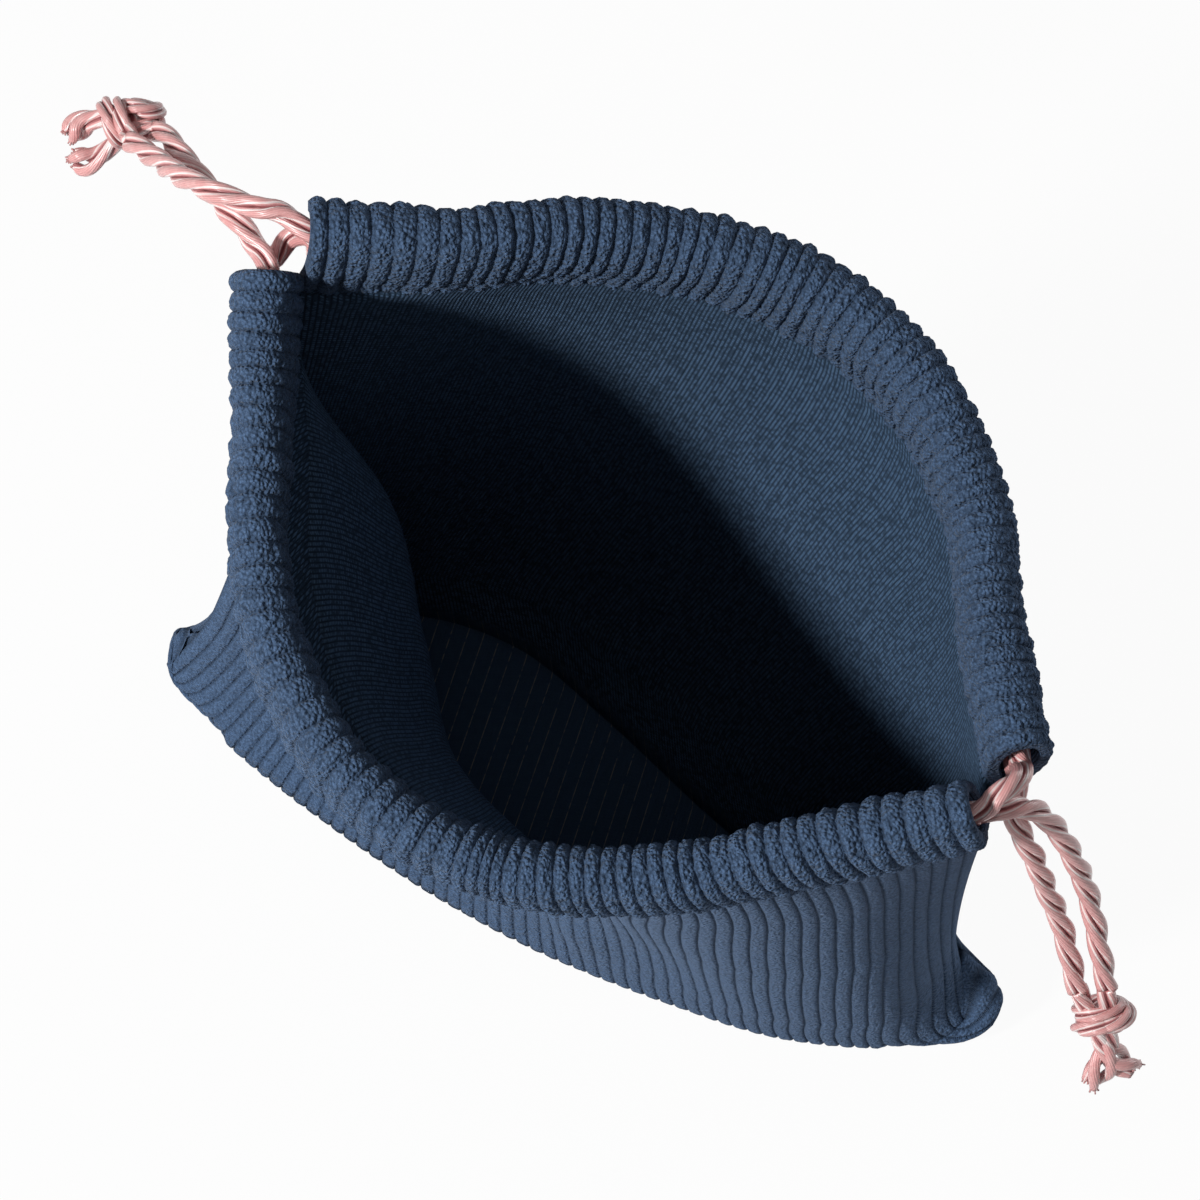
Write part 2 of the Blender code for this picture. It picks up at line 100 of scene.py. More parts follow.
CASING_TALL = 0.018
# The casing's section in millimetres, down and outward from its middle, from the hem's edge inside
# over the top and down towards the stitched hem, where the panel starts
SECTION = ((13.2, -2.0), (10.2, -2.2), (6.4, -3.4), (2.3, -4.3), (-2.5, -4.3), (-6.4, -2.8),
           (-7.8, 0.0), (-6.4, 2.8), (-2.5, 4.3), (2.5, 4.5), (6.4, 3.6), (9.6, 2.1))
PLUMB = 0.75               # how far the front casing turns upright, left of its middle
PLUMB_NARROW = 0.16        # share of its section that it loses there
SEAM_THIN = 0.12           # share of the cloth's thickness that shows at a side seam
FOOT_THICKER = 0.66        # how much more of it shows at the base's corners

# How far the wales move sideways, as shares of the width
UPRIGHT_SHIFT = 0.10       # on the front, so that they look upright
CROWD = 0.66               # share of that at the front's stitched hem
FRONT_LEAN = 0.020
BACK_SLANT = -0.010
UPRIGHT_DOWN = 0.54        # share of the way down from which they lean the other way
GUSSET_DIP = 0.020         # towards the left above the folded base
DIP_START = 0.56           # share of the way down at which that begins
STRAY = 0.0036             # of single wales on the casings

# Folds of the front: depth, place and drift across, reach, place and reach down the panel
FOLDS = ((0.0022, 0.56, 0.05, 0.035, 0.80, 0.10), (0.0016, 0.47, 0.0, 0.03, 0.72, 0.10),
         (-0.0012, 0.66, 0.0, 0.05, 0.72, 0.14))
HEM_CREASE = 0.0015        # depth of the stitched line under a casing
HEM_PUFF = 0.0006          # of the casing above it
CASING_LUMPS = ((0.0004, 0.007, 11), (0.0002, 0.0024, 12))     # depth, size and seed
BACK_CASING_END = 0.0044   # how far the back casing's left end reaches past the seam

# Steps of the cloth's mesh
WALE_POINTS = (0.0, 0.06, 0.15, 0.27, 0.39, 0.5, 0.61, 0.73, 0.85, 0.94)   # shares of its pitch
CASING_ROWS = 136
PANEL_ROWS = 94
BASE_ROWS = 24
WRONG_ROWS = 4             # rows of the pile side for each row of the wrong side
WRONG_COLUMNS = 2
GRID_FLOOR = 0.0017        # lowest the middle of the base's cloth may lie

# The base's ends roll outward before they turn up to the side seams
EAR_ROLL = (-0.0095, 0.0165)
EAR_PLACE = 0.055          # of the roll, as a share of the width from the end
EAR_ROUNDS = 26            # of evening out, which rounds the folded corners
EAR_WIDTH = 0.11
EAR_SINK = 0.25            # share of the roll that also goes down

# The cords' sides, left and right, from the middle of the two casing ends there: the knot, the
# free strands at the front and the back, the short way between the casings, the knot's tails and
# how far they stand out of it. The knot's loops are given by their middle, axis and radius, in
# millimetres to the right, up and towards the viewer of the photograph.
SIDES = (
    {"name": "left",
     "knot": (-0.0400, 0.0266, -0.0286),
     "strands": (((-0.0094, 0.0015, -0.0021), (-0.0126, 0.0034, -0.0016),
                  (-0.0158, 0.0057, -0.0030), (-0.0202, 0.0105, -0.0077),
                  (-0.0265, 0.0173, -0.0144), (-0.0311, 0.0224, -0.0196)),
                 ((-0.0047, 0.0046, 0.0054), (-0.0086, 0.0041, 0.0050),
                  (-0.0127, 0.0047, 0.0034), (-0.0184, 0.0054, 0.0016),
                  (-0.0254, 0.0094, -0.0054), (-0.0310, 0.0155, -0.0151))),
     "bridge": ((-0.0045, 0.0015, -0.0060), (-0.0030, 0.0050, -0.0035),
                (0.0005, 0.0050, -0.0010)),
     "tails": ((-0.0085, -0.0082, -0.0094), (-0.0111, -0.0037, -0.0085)),
     "tail_lengths": (0.0048, 0.0042),
     "loops": (((-2.6, 0.3, 0.0), (0.93, 0.36, 0.05), 3.5),
               ((0.1, -0.1, 0.3), (0.94, 0.28, 0.10), 3.9),
               ((3.0, 2.9, 0.0), (0.15, 1.0, 0.15), 2.9),
               ((3.2, -0.1, -0.2), (-0.05, 1.0, 0.30), 2.6))},
    {"name": "right",
     "knot": (0.0380, -0.0098, -0.0580),
     "strands": (((0.0022, -0.0036, 0.0002), (0.0070, -0.0005, -0.0025),
                  (0.0128, 0.0012, -0.0100), (0.0193, 0.0011, -0.0200),
                  (0.0257, 0.0003, -0.0320)),
                 ((0.0045, 0.0, -0.0065), (0.0075, -0.0015, -0.0110),
                  (0.0125, -0.0020, -0.0190), (0.0178, -0.0026, -0.0290),
                  (0.0235, -0.0035, -0.0390))),
     "bridge": ((-0.0003, -0.0042, 0.0050), (0.0015, -0.0008, 0.0055),
                (0.0026, 0.0026, 0.0030)),
     "tails": ((0.0040, -0.0060, -0.0120), (0.0100, -0.0020, -0.0110)),
     "tail_lengths": (0.0085, 0.0080),
     "loops": (((0.2, 1.7, 0.0), (-0.16, 1.0, 0.25), 3.9),
               ((-0.2, -1.2, 0.2), (-0.10, 1.0, 0.05), 3.6),
               ((1.9, 0.4, 0.9), (-0.30, 1.0, 0.45), 3.3))},
)
UPPER_LANE = -0.0009       # of the left cord, down the casing from its middle
CORD_GAP = 0.0003
CORD_STEP = 0.0008
CORD_HIDDEN = 0.004        # how far a free strand's piece reaches into its casing
CORD_TURN = 0.4            # radians that the right cord's plies are turned by
PLY_SIDES = 10
KNOT_DIAMETER = 0.015
KNOT_TIGHT = 0.74          # of the cord's diameter, where the knot squeezes it
TAIL_ASIDE = 0.0011        # of each tail's way through the knot
FRAY_HAIRS = 14
HAIR_RADIUS = 0.00016

# Threads of the materials
STITCH = 0.00075           # between the stitches along a furrow
PICK = 0.0008              # between the cross threads inside
ROWS_TO_A_WALE = 4
WALL_START = (0.004, 0.010)    # height at which the painted lighter floor of the base inside turns into the walls
PLY_THREADS = 13
THREAD_SLANT = 420

UNIT = np.array([PANEL_WIDTH / 100, PANEL_WIDTH / 100, PANEL_HEIGHT / 100])


def colour_setting(name, description, default):
    """A colour in the sidebar."""
    return FloatVectorProperty(name=name, description=description, default=default,
                               subtype="COLOR", min=0, max=1)


class ClothSettings(bpy.types.PropertyGroup):
    """Sizes and colours of the corduroy."""

    wales: IntProperty(name="Wales", description="Ridges across a panel", default=60, min=10)
    thickness: FloatProperty(name="Thickness", description="Cloth without its ridges",
                             default=CLOTH_THICK, unit="LENGTH")
    rise: FloatProperty(name="Wale rise", description="How far a ridge stands up",
                        default=0.0009, unit="LENGTH")
    nap: FloatProperty(name="Nap", description="How rough the pile is on the casings",
                       default=0.0005, unit="LENGTH")
    pile: colour_setting("Pile", "Ridges", (0.072, 0.124, 0.226))
    backing: colour_setting("Backing", "Wrong side", (0.038, 0.068, 0.118))
    # The pale threads are shown on the base only, where they stand in for painted light from above
    thread: colour_setting("Thread", "Pale threads on the base inside", (0.30, 0.27, 0.25))


class CordSettings(bpy.types.PropertyGroup):
    """Sizes and colour of the twisted cord."""

    diameter: FloatProperty(name="Diameter", description="Across the twisted cord",
                            default=0.0043, unit="LENGTH")
    lay: FloatProperty(name="Lay", description="Length of one whole turn of the twist",
                       default=0.0260, unit="LENGTH")
    colour: colour_setting("Cord", "Satin threads", (0.73, 0.34, 0.335))
    light: colour_setting("Light threads", "Uneven paler threads", (0.90, 0.62, 0.60))
    shine: colour_setting("Shine", "Band of light on each ply", (0.99, 0.90, 0.89))
    # Painted shade in the grooves between the plies
    groove: colour_setting("Groove", "Between the plies", (0.36, 0.11, 0.12))


class StageSettings(bpy.types.PropertyGroup):
    """Light and floor."""

    key_power: FloatProperty(name="Key light", description="Power of the lamp at the front left",
                             default=21.0, min=0)
    fill: FloatProperty(name="Fill light", description="Strength of the soft light all round",
                        default=0.09, min=0)


def direction(azimuth, elevation):
    """The way from the pouch at angles in degrees, where azimuth 0 is the front."""
    a, e = math.radians(azimuth), math.radians(elevation)
    return Vector((math.sin(a) * math.cos(e), -math.cos(a) * math.cos(e), math.sin(e)))


def view_frame():
    """The photograph's directions to the right, up and towards its viewer."""
    azimuth, roll = math.radians(VIEW_AZIMUTH), math.radians(VIEW_ROLL)
    back = direction(VIEW_AZIMUTH, VIEW_ELEVATION)
    level = Vector((math.cos(azimuth), math.sin(azimuth), 0))
    upright = back.cross(level)
    right = level * math.cos(roll) + upright * math.sin(roll)
    top = upright * math.cos(roll) - level * math.sin(roll)
    return right, top, back


def unit(vectors):
    """Vectors made one long."""
    return vectors / np.maximum(np.linalg.norm(vectors, axis=-1, keepdims=True), 1e-12)


def smooth(share):
    """An S-shaped step from 0 to 1."""
    t = np.clip(share, 0, 1)
    return t * t * (3 - 2 * t)


def window(place, start, rise, end, fall):
    """1 between two places, with soft ends inside them."""
    return smooth((place - start) / rise) * smooth((end - place) / fall)


def hump(place, middle, reach):
    """A smooth rise to 1 at the middle that is gone a little over a reach away."""
    return np.exp(-((place - middle) / reach) ** 2)


def curve_through(points, shares):
    """Points at the given shares of a smooth curve through the given points."""
    points = np.asarray(points, float)
    ends = np.vstack([2 * points[0] - points[1], points, 2 * points[-1] - points[-2]])
    place = np.clip(shares, 0, 1) * (len(points) - 1)
    span = np.minimum(place.astype(int), len(points) - 2)
    t = (place - span)[..., None]
    a, b, c, d = ends[span], ends[span + 1], ends[span + 2], ends[span + 3]
    return 0.5 * (2 * b + (c - a) * t + (2 * a - 5 * b + 4 * c - d) * t ** 2
                  + (3 * b - a - 3 * c + d) * t ** 3)


def tufts(across, along, size, seed):
    """Round tufts of pile that stand side by side over a flat surface, 1 on top and 0 between."""
    jitter = np.random.default_rng(seed).uniform(0.18, 0.82, (256, 256, 2))
    u, v = across / size, along / size
    i, j = np.floor(u).astype(int), np.floor(v).astype(int)
    height = np.zeros(np.broadcast(u, v).shape)
    for di in (-1, 0, 1):
        for dj in (-1, 0, 1):
            spot = jitter[(i + di) % 256, (j + dj) % 256]
            away = (i + di + spot[..., 0] - u) ** 2 + (j + dj + spot[..., 1] - v) ** 2
            own = 0.55 + 0.45 * ((spot[..., 0] * 97.3 + spot[..., 1] * 41.7) % 1)
            height = np.maximum(height, own * np.sqrt(np.clip(1 - away / 0.46, 0, 1)))
    return height


def grain(across, along, size, seed):
    """Soft random values from -1 to 1 over a flat surface, with spots of the given size."""
    table = np.random.default_rng(seed).uniform(-1, 1, (256, 256))
    u, v = across / size, along / size
    i, j = np.floor(u).astype(int), np.floor(v).astype(int)
    s, t = smooth(u - i), smooth(v - j)
    i, j, ii, jj = i % 256, j % 256, (i + 1) % 256, (j + 1) % 256
    near = table[i, j] * (1 - s) + table[ii, j] * s
    far = table[i, jj] * (1 - s) + table[ii, jj] * s
    return near * (1 - t) + far * t


class Panel:
    """The middle of the cloth of the front or the back, from its casing to the base's edge."""

    def __init__(self, rim, waist, foot, side):
        self.rim, self.waist, self.foot = (np.array(ring) * UNIT for ring in (rim, waist, foot))
        self.side = side
        middle = len(rim) // 2
        fall = (np.linalg.norm(self.rim - self.waist, axis=1)
                + np.linalg.norm(self.waist - self.foot, axis=1))[middle]
        self.hem_row = (CASING_TALL / 2 + 2 * CLOTH_THICK) / fall

    def free_sheet(self, across, down):
        """The cloth before the seams pull at it."""
        rim, waist, foot = (curve_through(ring, across)
                            for ring in (self.rim, self.waist, self.foot))
        v = down[..., None]
        return rim * (1 - v) * (1 - 2 * v) + waist * 4 * v * (1 - v) + foot * v * (2 * v - 1)

    def edge(self, left, down):
        """A side edge of the panel: its seam, and the side of the base's corner under it."""
        foot = self.foot[0 if left else -1]
        under = np.clip((down - GUSSET_ROW) / (1 - GUSSET_ROW), 0, 1)[..., None]
        above = np.clip((down - self.hem_row) / (GUSSET_ROW - self.hem_row), 0, 1)
        return seam_point(left, above) * (1 - under) + foot * under

    def sheet(self, across, down):
        """The cloth at shares of the width and of the way down."""
        level = self.free_sheet(across, down)
        for left, end, away in ((True, 0.0, across), (False, 1.0, 1 - across)):
            pull = np.clip(1 - away / SEAM_REACH, 0, 1) ** 2 * np.clip(down / self.hem_row, 0, 1)
            own = self.free_sheet(np.full(across.shape, end), down)
            level = level + (self.edge(left, down) - own) * pull[..., None]
        return level

    def casing_frame(self, across):
        """Centre, downward and outward directions of the casing's tube."""
        step = 0.01
        inside = np.clip(across, step, 1 - step)
        centre = curve_through(self.rim, across)
        along = curve_through(self.rim, inside + step) - curve_through(self.rim, inside - step)
        along = unit(along)
        down = self.free_sheet(across, np.full(across.shape, 2 * self.hem_row)) - centre
        down = unit(down - along * np.sum(along * down, axis=-1, keepdims=True))
        return centre, down, np.cross(along, down) * self.side


FRONT = Panel(FRONT_RIM, FRONT_WAIST, FRONT_FOOT, -1)
BACK = Panel(BACK_RIM, BACK_WAIST, BACK_FOOT, 1)


def seam_point(left, share):
    """Points of a side seam, from its top at share 0 to the folded base at share 1."""
    top = np.array(SEAM_TOP_LEFT if left else SEAM_TOP_RIGHT) * UNIT
    waist = FRONT.waist[0 if left else -1]
    gusset = GUSSET_LEFT if left else GUSSET_RIGHT
    low = np.array([gusset[0] * UNIT[0], gusset[1] * UNIT[1], GUSSET_RISE])
    middle = (top[2] - waist[2]) / (top[2] - low[2])
    sag = waist - (top + (low - top) * middle)
    t = np.asarray(share, float)[..., None]
    return top + (low - top) * t + sag * t * (1 - t) / (middle * (1 - middle))




def wale_columns(wales):
    """Shares of the width and heights of the ridges, for each column of the cloth."""
    across = np.array([wale + point for wale in range(wales) for point in WALE_POINTS] + [wales])
    rise = np.abs(2 * (across % 1) - 1)
    return across / wales, (1 - rise ** 3.6) ** 0.8


def wander(columns, share, seed):
    """How far the wales stray sideways on a casing, which is nothing at its ends."""
    ends = window(columns, 0, 0.03, 1, 0.03) * smooth((1 - share) / 0.2)
    return STRAY * ends * grain(columns * 60, np.full(columns.shape, share * 9), 3.1, seed)


def evenly(curve, columns):
    """The shares of a row at which the wales are all equally wide."""
    dense = np.linspace(0, 1, 241)
    length = line_length(curve(dense))
    return np.interp(columns, length / length[-1], dense)


def casing_rows(panel, columns, shift, lean, seed):
    """The middle of the cloth around a casing, from the hem's edge inside to the stitched hem."""
    rows = []
    hem = np.full(columns.shape, panel.hem_row)
    for share in np.linspace(0, 1, CASING_ROWS, endpoint=False):
        moved = columns + shift + lean * smooth((share - 0.45) / 0.55)
        moved = moved + wander(columns, share, seed)
        moved = evenly(lambda at: curve_through(panel.rim, at), np.clip(moved, 0, 1))
        centre, down, out = panel.casing_frame(moved)
        last = panel.sheet(moved, hem) - centre
        narrow = np.ones(len(columns))
        if panel is FRONT:
            plumb = PLUMB * window(moved, 0.02, 0.15, 0.66, 0.25)[:, None]
            down = unit(down * (1 - plumb) + np.array([0.0, 0.0, -1.0]) * plumb)
            out = unit(out - down * np.sum(out * down, axis=1, keepdims=True))
            narrow = 1 - PLUMB_NARROW * plumb[:, 0] / PLUMB
        ends = np.stack([np.sum(last * down, axis=1), np.sum(last * out, axis=1)], axis=1)
        size = np.stack([0.5 + 0.5 * narrow, narrow], axis=1)
        section = np.concatenate([np.array(SECTION)[:, None] / 1000 * size, ends[None]])
        flat = section.reshape(len(section), -1)
        point = curve_through(flat, np.array([share]))[0].reshape(len(columns), 2)
        rows.append(centre + down * point[:, :1] + out * point[:, 1:])
    return rows


def panel_rows(panel, columns, shift, upright, lift):
    """The middle of the cloth of a panel, from the stitched hem down to the base's edge.

    Its wales start at a shift to the right. At the upright shift they would look upright."""
    rows = []
    for share in np.linspace(0, 1, PANEL_ROWS):
        down = panel.hem_row + (1 - panel.hem_row) * share
        bend = upright * (1 - share) * (1 - down / UPRIGHT_DOWN) + (shift - upright) * (1 - share)
        dip = min(np.clip((down - DIP_START) / (GUSSET_ROW - DIP_START), 0, 1),
                  (1 - down) / (1 - GUSSET_ROW))
        bend = bend - GUSSET_DIP * dip * window(columns, 0, 0.3, 0.97, 0.07)
        moved = np.clip(columns + bend, 0, 1)
        top = evenly(lambda at: curve_through(panel.rim, at), moved)
        own = evenly(lambda at: panel.sheet(at, np.full(at.shape, down)), moved)
        moved = top + (own - top) * smooth(share / 0.3)
        row = panel.sheet(moved, np.full(columns.shape, down))
        row[:, 2] += lift * down ** 4
        rows.append(row)
    return rows


def base_rows(front, back):
    """The middle of the base's cloth, between the lowest rows of the front and the back."""
    columns = np.linspace(0, 1, len(front[-1]))
    panel = FRONT.hem_row + (1 - FRONT.hem_row) * np.linspace(0, 1, PANEL_ROWS)
    fold = np.count_nonzero(panel > GUSSET_ROW)
    sides = [np.array([row[end] for row in front[-1:-fold - 2:-1] + back[-fold - 1:]])
             for end in (0, -1)]
    level = []
    for share in np.linspace(0, 1, BASE_ROWS + 2)[1:-1]:
        row = front[-1] * (1 - share) + back[-1] * share
        for side, end, away in ((sides[0], 0, columns), (sides[1], -1, 1 - columns)):
            pull = np.clip(1 - away / GUSSET_REACH, 0, 1) ** 2
            sewn = side[np.minimum(int(round(share * (len(side) - 1))), len(side) - 1)]
            row = row + (sewn - row[end]) * pull[:, None]
            roll = EAR_ROLL[end] * hump(away, EAR_PLACE, EAR_PLACE * 0.8)
            roll = roll * np.clip(away / 0.02, 0, 1)
            row[:, 0] += roll * math.sin(math.pi * share) ** 0.7
            row[:, 2] -= np.abs(roll) * EAR_SINK * math.sin(math.pi * share)
        level.append(np.maximum(row, (-1, -1, GRID_FLOOR)))
    return level


def new_piece(name, mesh, *materials):
    """An object in the scene from a finished mesh."""
    for material in materials:
        mesh.materials.append(material)
    item = bpy.data.objects.new(name, mesh)
    bpy.context.scene.collection.objects.link(item)
    return item


class Cloth:
    """The whole strip of cloth as a grid, and the pieces that are cut from it."""

    def __init__(self, settings):
        self.settings = settings
        thick, rise = settings.thickness, settings.rise
        columns, ridges = wale_columns(settings.wales)
        lift = thick / 2 + rise
        upright = UPRIGHT_SHIFT * smooth((columns - 0.05) / 0.45)
        upright = upright * np.clip((1 - columns) / 0.5, 0, 1) ** 1.6
        crowd = CROWD * upright
        lean = FRONT_LEAN * window(columns, 0.40, 0.25, 1, 0.14)
        slant = BACK_SLANT * window(columns, 0.1, 0.2, 1, 0.15)
        front = (casing_rows(FRONT, columns, crowd - lean, lean, 21)
                 + panel_rows(FRONT, columns, crowd, upright, lift))
        back = (casing_rows(BACK, columns, 0, slant, 22)
                + panel_rows(BACK, columns, slant, slant, lift))
        base = base_rows(front, back)
        self.grid = np.array(front + base + back[::-1])
        self.count = (len(front), len(base), len(back))
        self.columns, self.ridges = columns, ridges
        self.round_ears(self.grid, EAR_ROUNDS)
        self.grid[..., 2] = np.maximum(self.grid[..., 2], GRID_FLOOR)
        self.wrinkle()
        self.along = self.lengths()
        self.normals = self.grid_normals()
        self.round_ears(self.normals, EAR_ROUNDS)
        self.normals = unit(self.normals)
        self.taper = self.seam_taper()
        self.pile = self.pile_side(thick, rise)
        self.wrong = self.grid - self.normals * (thick / 2 * self.taper)[..., None]

    def round_ears(self, values, rounds):
        """Evens out the rows of a grid where the base's corners fold."""
        front, base, back = self.count
        start = CASING_ROWS + int(PANEL_ROWS * GUSSET_ROW) - 4
        stop = front + base + back - start
        away = np.minimum(self.columns, 1 - self.columns)
        share = (smooth(1 - away / EAR_WIDTH) ** 0.5)[None, :, None]
        for _ in range(rounds):
            part = values[start - 1:stop + 1]
            even = (part[:-2] + 2 * part[1:-1] + part[2:]) / 4
            values[start:stop] = part[1:-1] * (1 - share) + even * share

    def grid_normals(self):
        """Directions square to the grid, out of the pile."""
        return unit(np.cross(np.gradient(self.grid, axis=0), np.gradient(self.grid, axis=1)))

    def rows_in(self):
        """How many rows each row is from the strip's nearer end."""
        number = np.arange(sum(self.count))
        return np.minimum(number, number[::-1])

    def wrinkle(self):
        """Soft folds that the rings of the pose don't hold."""
        total, back = len(self.grid), self.count[2]
        row = np.arange(total)[:, None] / (self.count[0] - 1)
        across = self.columns[None, :]
        normals = self.grid_normals()
        casing = CASING_ROWS / self.count[0]
        panel = (row - casing) / (1 - casing)
        fold = sum(depth * hump(across, place + drift * (panel - low), wide)
                   * hump(panel, low, tall) for depth, place, drift, wide, low, tall in FOLDS)
        self.grid = self.grid + normals * (fold * (row < 1))[..., None]
        number = self.rows_in()[:, None]
        crease = (HEM_CREASE * hump(number, CASING_ROWS + 1.0, 2.2)
                  - HEM_PUFF * hump(number, CASING_ROWS - 12, 6))
        crease = crease * window(across, 0, 0.04, 1, 0.04)
        self.grid = self.grid - normals * crease[..., None]
        back_share = np.clip((back - total + np.arange(total)[:, None]) / back, 0, 1)
        end = smooth(1 - across / 0.14) * smooth((back_share - 0.52) / 0.12)
        self.grid[..., 0] -= BACK_CASING_END * end

    def lengths(self):
        """How far along the cloth each row lies, in metres, at the middle of its width."""
        return line_length(self.grid[:, self.grid.shape[1] // 2])

    def casing_share(self):
        """1 on the rows of a casing and 0 on those of the panels and the base."""
        return 1 - smooth((self.rows_in() - CASING_ROWS + 1) / 5)

    def seam_taper(self):
        """How thick the cloth stands out, which falls away at the side seams."""
        wale = 1 / self.settings.wales
        away = np.minimum(self.columns, 1 - self.columns)
        rounded = np.sqrt(smooth(away / (1.4 * wale)))[None, :]
        low = (self.rows_in() - CASING_ROWS) / PANEL_ROWS
        foot = (SEAM_THIN + FOOT_THICKER * smooth((low - 0.82) / 0.12))[:, None]
        seam = foot + (1 - foot) * rounded
        casing = self.casing_share()[:, None]
        return casing + (1 - casing) * seam

    def pile_side(self, thick, rise):
        """The points of the pile, on ridges with a rough nap."""
        casing = self.casing_share()[:, None]
        shape = self.grid.shape[:2]
        width = np.broadcast_to(PANEL_WIDTH * self.columns[None, :], shape)
        along = np.broadcast_to(self.along[:, None], shape)
        wales = self.settings.wales
        wale = np.floor(np.clip(self.columns, 0, 0.9999) * wales).astype(int)
        uneven = np.random.default_rng(5).uniform(-1, 1, wales)[wale][None, :]
        flat = self.ridges[None, :]
        round_top = 1 - np.abs(2 * ((self.columns[None, :] * wales) % 1) - 1) ** 2.6
        ridge = flat + casing * (round_top - flat)
        height = rise * ridge * (0.55 + casing * (0.25 + 0.22 * uneven))
        for depth, size, seed in CASING_LUMPS:
            height = height + casing * depth * grain(width, along, size, seed)
        self.tuft = tufts(width, along, PANEL_WIDTH / wales / 3, 3)
        nap = self.settings.nap * (0.34 + 0.66 * casing) * (0.6 + 0.4 * ridge)
        out = thick / 2 + height + nap * (self.tuft - 0.5 + 0.3 * grain(width, along, 0.0006, 4))
        pile = self.grid + self.normals * (out * self.taper)[..., None]
        pile[..., 2] = np.maximum(pile[..., 2], 0.00005)
        return pile

    def part(self, name, start, stop, materials):
        """Rows of the strip as one closed piece, with its pile side and its wrong side."""
        pile = self.pile[start:stop]
        keep = np.append(np.arange(0, stop - start - 1, WRONG_ROWS), stop - start - 1)
        wrong = self.wrong[start:stop][keep][:, ::WRONG_COLUMNS]
        (tall, wide), (deep, narrow) = pile.shape[:2], wrong.shape[:2]
        points = np.concatenate([pile.reshape(-1, 3), wrong.reshape(-1, 3)])
        outer = np.arange(tall * wide).reshape(tall, wide)
        inner = np.arange(deep * narrow).reshape(deep, narrow) + tall * wide
        faces = [(a, b, c, d) for a, b, c, d in zip(
            outer[:-1, :-1].flat, outer[1:, :-1].flat, outer[1:, 1:].flat, outer[:-1, 1:].flat)]
        pile_faces = len(faces)
        faces += [(a, b, c, d) for a, b, c, d in zip(
            inner[:-1, :-1].flat, inner[:-1, 1:].flat, inner[1:, 1:].flat, inner[1:, :-1].flat)]
        smooth_faces = len(faces)
        for n in range(narrow - 1):
            span = slice(n * WRONG_COLUMNS, (n + 1) * WRONG_COLUMNS + 1)
            faces.append((*outer[0, span], inner[0, n + 1], inner[0, n]))
            faces.append((*outer[-1, span][::-1], inner[-1, n], inner[-1, n + 1]))
        for n, (low, high) in enumerate(zip(keep, keep[1:])):
            faces.append((*outer[low:high + 1, 0][::-1], inner[n, 0], inner[n + 1, 0]))
            faces.append((*outer[low:high + 1, -1], inner[n + 1, -1], inner[n, -1]))
        mesh = bpy.data.meshes.new(name)
        mesh.from_pydata(points.tolist(), [], [tuple(int(v) for v in face) for face in faces])
        number = np.arange(len(faces))
        mesh.polygons.foreach_set("use_smooth", number < smooth_faces)
        mesh.polygons.foreach_set("material_index",
                                  ((number >= pile_faces) & (number < smooth_faces)).astype(int))
        self.add_maps(mesh, start, stop, keep)
        mesh.update()
        return new_piece(name, mesh, *materials)

    def add_maps(self, mesh, start, stop, keep):
        """A UV map of wales across and metres along, and the shares of the nap and the tufts."""
        shape = (stop - start, len(self.columns))
        grids = [np.broadcast_to(values, shape) for values in (
            self.columns * self.settings.wales, self.along[start:stop, None],
            self.casing_share()[start:stop, None], self.tuft[start:stop])]
        flat = [np.concatenate([grid.ravel(), grid[keep][:, ::WRONG_COLUMNS].ravel()])
                for grid in grids]
        loops = np.zeros(len(mesh.loops), int)
        mesh.loops.foreach_get("vertex_index", loops)
        layer = mesh.uv_layers.new(name="weave")
        layer.data.foreach_set("uv", np.stack([flat[0][loops], flat[1][loops]], axis=1).ravel())
        for name, values in (("nap", flat[2]), ("tuft", flat[3])):
            item = mesh.attributes.new(name, "FLOAT", "POINT")
            item.data.foreach_set("value", values.astype(np.float32))


def side_anchor(end):
    """The middle of the two casing ends on one side."""
    share = np.array([float(end)])
    return (FRONT.casing_frame(share)[0][0] + BACK.casing_frame(share)[0][0]) / 2


def line_length(points):
    """How far along a line each of its points lies."""
    steps = np.linalg.norm(np.diff(points, axis=0), axis=1)
    return np.concatenate([[0], np.cumsum(steps)])


def cord_route(side, diameter):
    """A cord's way from its knot through one casing, across the far side and back to its knot.

    It gives even points along the way, and the numbers of the two at its own casing ends."""
    own, anchor = SIDES[side], side_anchor(side)
    depth = UPPER_LANE + side * (diameter + 2 * CORD_GAP)
    ways = []
    for panel in (FRONT, BACK):
        centre, down, _ = panel.casing_frame(np.linspace(0.0, 1.0, 14))
        ways.append((centre + down * depth)[::-1 if side else 1])
    centre = anchor + np.array(own["knot"])
    last = [anchor + np.array(strand[-1]) for strand in own["strands"]]
    towards = unit((last[0] + last[1]) / 2 - centre)
    apart = last[0] - last[1]
    apart = unit(apart - towards * np.dot(apart, towards))
    radius, lump = diameter / 2, KNOT_DIAMETER / 2
    spread = math.asin((radius + CORD_GAP) / (lump + CORD_GAP))
    reach = lump + CORD_GAP + radius * math.sin(spread)
    free = []
    for strand, turn in zip(own["strands"], (1, -1)):
        seat = unit(towards * math.cos(spread) + apart * turn * math.sin(spread))
        free.append(np.vstack([anchor + np.array(strand), centre + seat * reach]))
    link = side_anchor(1 - side) + np.array(SIDES[1 - side]["bridge"])
    route = np.vstack([free[0][::-1], ways[0], link, ways[1][::-1], free[1]])
    fine = curve_through(route, np.linspace(0, 1, 60 * len(route)))
    length = line_length(fine)
    places = np.linspace(0, length[-1], math.ceil(length[-1] / CORD_STEP) + 1)
    even = np.stack([np.interp(places, length, fine[:, axis]) for axis in range(3)], axis=1)
    mouths = [np.argmin(np.linalg.norm(even - way[0], axis=1)) for way in ways]
    return even, mouths[0], mouths[1]


